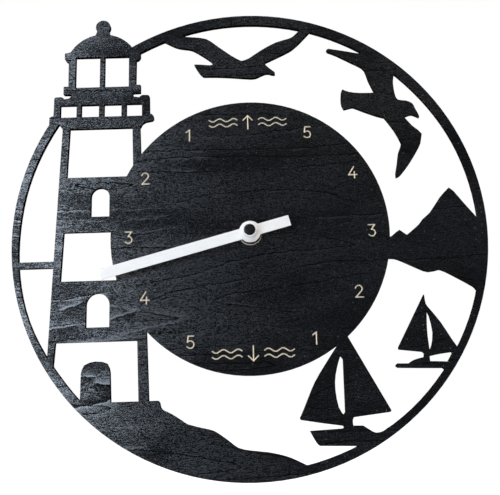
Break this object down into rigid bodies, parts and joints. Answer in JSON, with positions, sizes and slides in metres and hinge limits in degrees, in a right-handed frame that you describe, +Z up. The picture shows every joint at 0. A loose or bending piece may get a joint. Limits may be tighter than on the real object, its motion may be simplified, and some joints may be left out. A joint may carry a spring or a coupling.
{
  "type": "wall tide clock",
  "caption": "Wall tide clock: a round fretwork plate of black-stained plywood with a lighthouse, gulls and boats, one white hand and a quartz movement behind.",
  "frame": {"origin": "on the wall, at the flat rear face of the movement, on the axis of the hand", "axes": "+Z up, +X to the reader's right, the dial faces -Y and the wall is at +Y"},
  "size_m": [0.3, 0.0332, 0.3],
  "materials": {
    "stained_plywood": "black stain, satin, horizontal grain",
    "white_lacquer": "white lacquer on metal",
    "black_plastic": "moulded, satin",
    "case_plastic": "moulded, fine texture",
    "knob_plastic": "moulded, satin",
    "gear_plastic": "natural acetal",
    "rubber": "matt",
    "nickel": "nickel plate",
    "brass": "turned",
    "spring_steel": "nickel-plated strip",
    "soft_iron": "stamped",
    "cell_can": "plain wrapped sleeve",
    "copper_wire": "enamelled winding",
    "board_laminate": "solder mask",
    "epoxy": "cast blob",
    "ferrite": "sintered"
  },
  "bodies": {
    "clock": {"fretwork_plate": "stained_plywood", "dial_gasket": "rubber", "dial_washer": "nickel", "dial_nut": "brass", "front_case": "case_plastic", "rear_cover": "case_plastic", "bridge_plate": "gear_plastic", "aa_cell": "cell_can", "positive_contact": "spring_steel", "negative_contact": "spring_steel", "circuit_board": "board_laminate", "quartz_crystal": "nickel", "driver_chip": "epoxy", "stator_plate": "soft_iron", "coil_bobbin": "gear_plastic", "coil_winding": "copper_wire", "coil_core": "soft_iron"},
    "hand": {"tide_hand": "white_lacquer", "hand_collet": "white_lacquer", "shaft_cap": "black_plastic", "tide_wheel": "black_plastic"},
    "setting": {"reversing_wheel": "gear_plastic", "setting_knob": "knob_plastic"},
    "cannon": {"cannon_pinion": "gear_plastic"},
    "seconds": {"seconds_wheel": "gear_plastic"},
    "third": {"third_wheel": "gear_plastic"},
    "centre": {"centre_wheel": "gear_plastic", "clutch_spring": "spring_steel"},
    "intermediate": {"intermediate_wheel": "gear_plastic"},
    "rotor": {"rotor_pinion": "gear_plastic", "rotor_magnet": "ferrite"}
  },
  "joints": [
    {"name": "hand_turn", "type": "hinge", "parent": "clock", "child": "hand", "pos_m": [0, -0.02, 0], "axis": [0, -1, 0], "continuous": true},
    {"name": "setting_turn", "type": "hinge", "parent": "clock", "child": "setting", "pos_m": [0.01204, -0.01, 0], "axis": [0, -1, 0], "continuous": true},
    {"name": "cannon_turn", "type": "hinge", "parent": "clock", "child": "cannon", "pos_m": [0, -0.012, 0], "axis": [0, -1, 0], "continuous": true},
    {"name": "seconds_turn", "type": "hinge", "parent": "clock", "child": "seconds", "pos_m": [0, -0.005, 0], "axis": [0, -1, 0], "continuous": true},
    {"name": "third_turn", "type": "hinge", "parent": "clock", "child": "third", "pos_m": [0.00473, -0.007, 0.0089], "axis": [0, -1, 0], "continuous": true},
    {"name": "centre_turn", "type": "hinge", "parent": "clock", "child": "centre", "pos_m": [0, -0.009, 0], "axis": [0, -1, 0], "continuous": true},
    {"name": "intermediate_turn", "type": "hinge", "parent": "clock", "child": "intermediate", "pos_m": [-0.00883, -0.004, 0.0051], "axis": [0, -1, 0], "continuous": true},
    {"name": "rotor_turn", "type": "hinge", "parent": "clock", "child": "rotor", "pos_m": [-0.01333, -0.006, 0.01046], "axis": [0, -1, 0], "continuous": true}
  ],
  "couplings": [
    {"joint": "setting_turn", "follows": "hand_turn", "ratio": -4.6},
    {"joint": "cannon_turn", "follows": "hand_turn", "ratio": 12.42},
    {"joint": "third_turn", "follows": "seconds_turn", "ratio": -0.13333},
    {"joint": "centre_turn", "follows": "seconds_turn", "ratio": 0.016667},
    {"joint": "intermediate_turn", "follows": "seconds_turn", "ratio": -5},
    {"joint": "rotor_turn", "follows": "seconds_turn", "ratio": 30}
  ]
}
